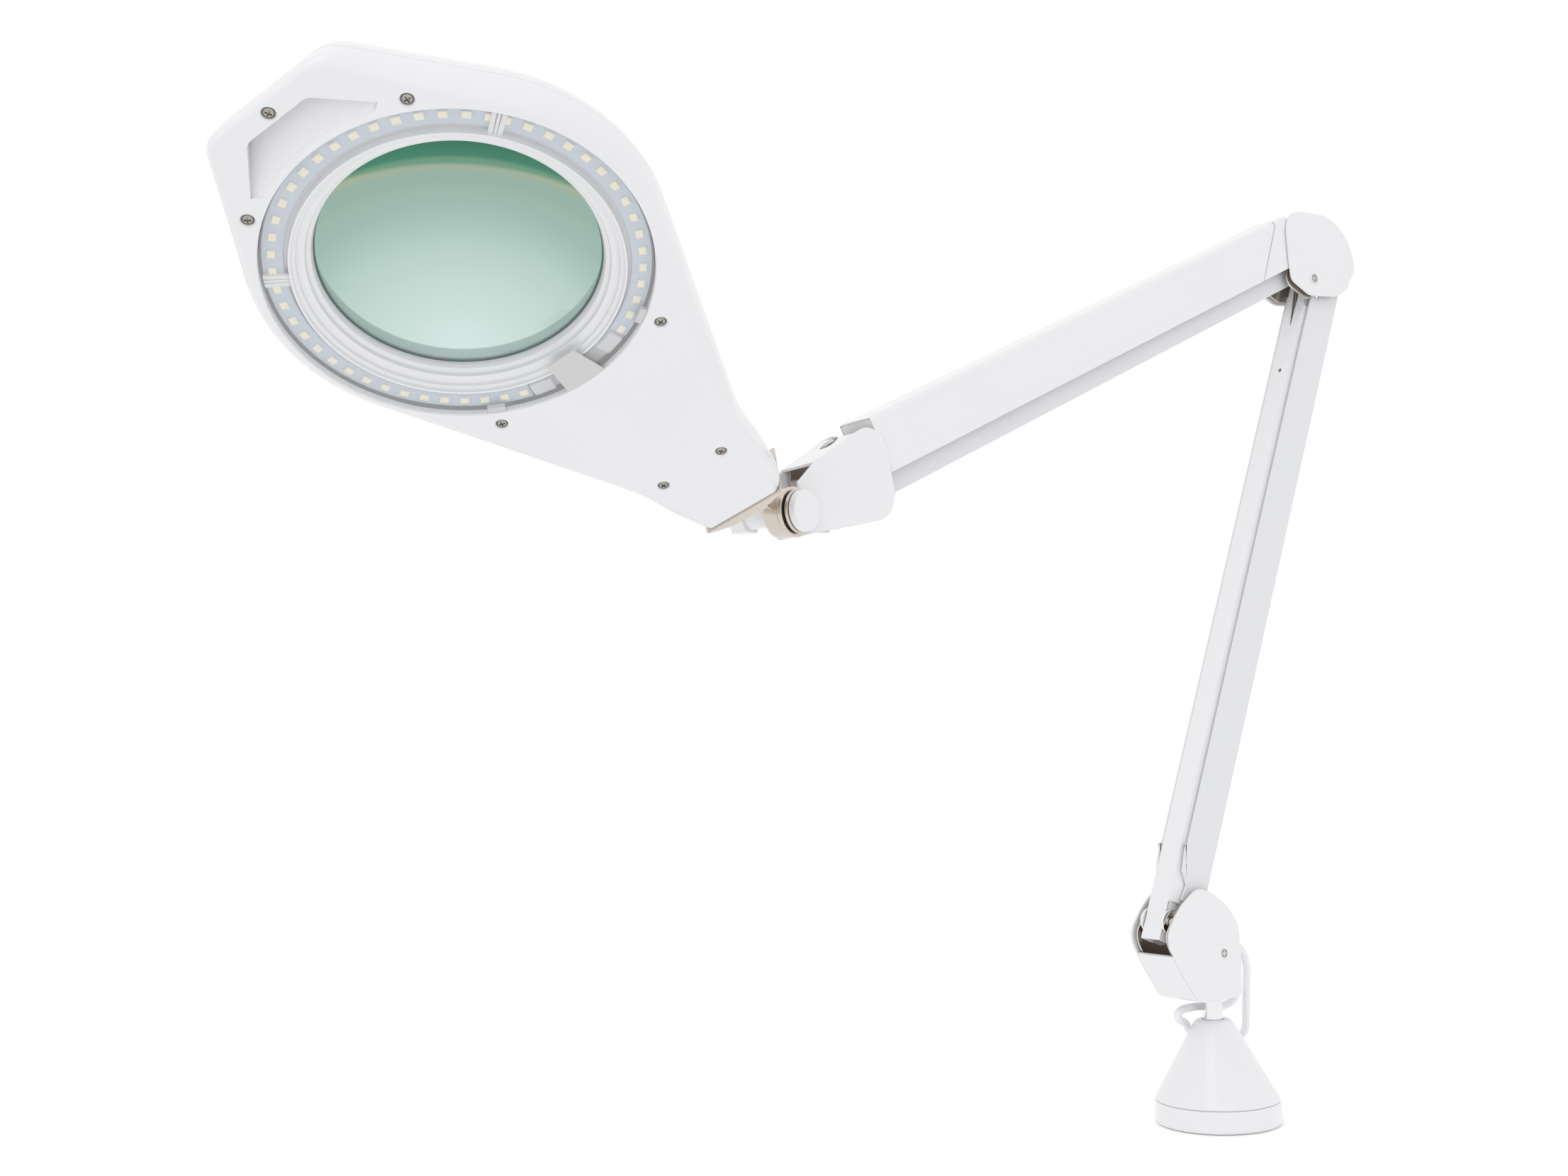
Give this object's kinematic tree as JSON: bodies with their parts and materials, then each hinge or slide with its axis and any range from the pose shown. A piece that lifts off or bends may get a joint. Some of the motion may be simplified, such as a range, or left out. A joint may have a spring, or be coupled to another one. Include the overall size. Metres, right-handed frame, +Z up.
{
  "type": "magnifying lamp",
  "caption": "LED magnifying lamp: round lens in a teardrop head on a spring-balanced two-section parallelogram arm, swivelling on a conical base collar.",
  "frame": {"origin": "centre of the base's underside, where it stands on the table", "axes": "+Z up along the base spigot; the arms lie in the XZ plane; the head reaches towards -X; -Y is the near side of the pivots"},
  "size_m": [0.8409, 0.2157, 0.6119],
  "materials": {
    "white_plastic": "smooth white moulding, semi-gloss",
    "grey_paint": "pale grey powder coat",
    "steel": "zinc-plated steel",
    "nickel": "warm satin nickel plate",
    "screw_steel": "nickel-plated cross-head screws",
    "nylon": "natural nylon",
    "black_plastic": "black friction plastic",
    "lead_sheath": "white flexible sheath",
    "lens_glass": "clear ground glass with a green cast at the edge",
    "clear_plastic": "clear moulded plastic",
    "board": "pale blue-grey circuit board",
    "button_plastic": "white switch cap"
  },
  "bodies": {
    "base": {"base_plate": "steel", "base_skirt": "white_plastic", "base_cone": "white_plastic", "base_socket": "steel", "base_bush": "nylon"},
    "knuckle": {"spigot": "nickel", "knuckle_cover": "white_plastic", "knuckle_plate_near": "nickel", "knuckle_plate_far": "nickel", "knuckle_block": "steel", "knuckle_channel_pin": "nickel", "knuckle_bar_pin": "nickel", "supply_lead": "lead_sheath"},
    "lower_channel": {"lower_channel": "grey_paint", "lower_spring": "steel"},
    "lower_bar": {"lower_bar": "grey_paint"},
    "elbow": {"elbow_plate_near": "nickel", "elbow_plate_far": "nickel", "elbow_cover_near": "white_plastic", "elbow_cover_far": "white_plastic", "elbow_pin_lower_channel": "nickel", "elbow_pin_lower_bar": "nickel", "elbow_pin_upper_channel": "nickel", "elbow_pin_upper_bar": "nickel"},
    "upper_channel": {"upper_channel": "grey_paint", "upper_spring": "steel", "upper_cover": "white_plastic", "upper_sleeve": "white_plastic"},
    "upper_bar": {"upper_bar": "grey_paint"},
    "fork": {"fork_cover": "white_plastic", "fork_plate_near": "nickel", "fork_plate_far": "nickel", "fork_core": "steel", "swivel_pin": "nickel", "fork_channel_pin": "nickel", "fork_bar_pin": "nickel"},
    "swivel": {"swivel_block": "nickel", "tilt_cap": "white_plastic", "tilt_bolt": "steel", "friction_washer": "black_plastic", "tilt_nut": "white_plastic"},
    "tilt": {"tilt_barrel": "nickel"},
    "head": {"head_lower_housing": "white_plastic", "head_upper_housing": "white_plastic", "lens": "lens_glass", "lens_bezel": "white_plastic", "diffuser_ring": "clear_plastic", "led_board_1": "board", "led_board_2": "board", "led_board_3": "board", "driver_board": "board", "neck_plate": "nickel", "head_screw_1": "screw_steel", "head_screw_2": "screw_steel", "head_screw_3": "screw_steel", "head_screw_4": "screw_steel", "head_screw_5": "screw_steel", "head_screw_6": "screw_steel", "head_screw_7": "screw_steel"},
    "switch": {"switch_button": "button_plastic"}
  },
  "joints": [
    {"name": "base_swivel", "type": "hinge", "parent": "base", "child": "knuckle", "pos_m": [0, 0, 0.08], "axis": [0, 0, 1], "range_deg": [-175, 175]},
    {"name": "lower_arm_tilt", "type": "hinge", "parent": "knuckle", "child": "lower_channel", "pos_m": [-0.032, 0, 0.1227], "axis": [0, 1, 0], "range_deg": [-38, 18]},
    {"name": "lower_bar_tilt", "type": "hinge", "parent": "knuckle", "child": "lower_bar", "pos_m": [-0.04378, 0, 0.13084], "axis": [0, 1, 0], "range_deg": [-38, 18]},
    {"name": "elbow_level", "type": "hinge", "parent": "lower_channel", "child": "elbow", "pos_m": [0.15085, 0, 0.56326], "axis": [0, 1, 0], "range_deg": [-18, 38]},
    {"name": "upper_arm_tilt", "type": "hinge", "parent": "elbow", "child": "upper_channel", "pos_m": [0.1235, 0, 0.5963], "axis": [0, 1, 0], "range_deg": [-25, 44]},
    {"name": "upper_bar_tilt", "type": "hinge", "parent": "elbow", "child": "upper_bar", "pos_m": [0.1235, 0, 0.5723], "axis": [0, 1, 0], "range_deg": [-25, 44]},
    {"name": "fork_level", "type": "hinge", "parent": "upper_channel", "child": "fork", "pos_m": [-0.27513, 0, 0.4148], "axis": [0, 1, 0], "range_deg": [-44, 25]},
    {"name": "head_swivel", "type": "hinge", "parent": "fork", "child": "swivel", "pos_m": [-0.296, 0, 0.3788], "axis": [0, 0, 1], "range_deg": [-36, 1]},
    {"name": "head_tilt", "type": "hinge", "parent": "swivel", "child": "tilt", "pos_m": [-0.33454, -0.01245, 0.3788], "axis": [-0.3074, 0.9516, 0], "range_deg": [-80, 50]},
    {"name": "head_roll", "type": "hinge", "parent": "tilt", "child": "head", "pos_m": [-0.33454, -0.01245, 0.3788], "axis": [0.8619, 0.2784, -0.4237], "range_deg": [-20, 70]},
    {"name": "switch_press", "type": "slide", "parent": "head", "child": "switch", "axis": [-0.2349, -0.5213, -0.8204], "range_m": [0, 0.0015], "stiffness_N_per_m": 400, "springref_m": -0.0005}
  ],
  "couplings": [
    {"joint": "lower_bar_tilt", "follows": "lower_arm_tilt", "ratio": 1},
    {"joint": "elbow_level", "follows": "lower_arm_tilt", "ratio": -1},
    {"joint": "upper_bar_tilt", "follows": "upper_arm_tilt", "ratio": 1},
    {"joint": "fork_level", "follows": "upper_arm_tilt", "ratio": -1}
  ]
}
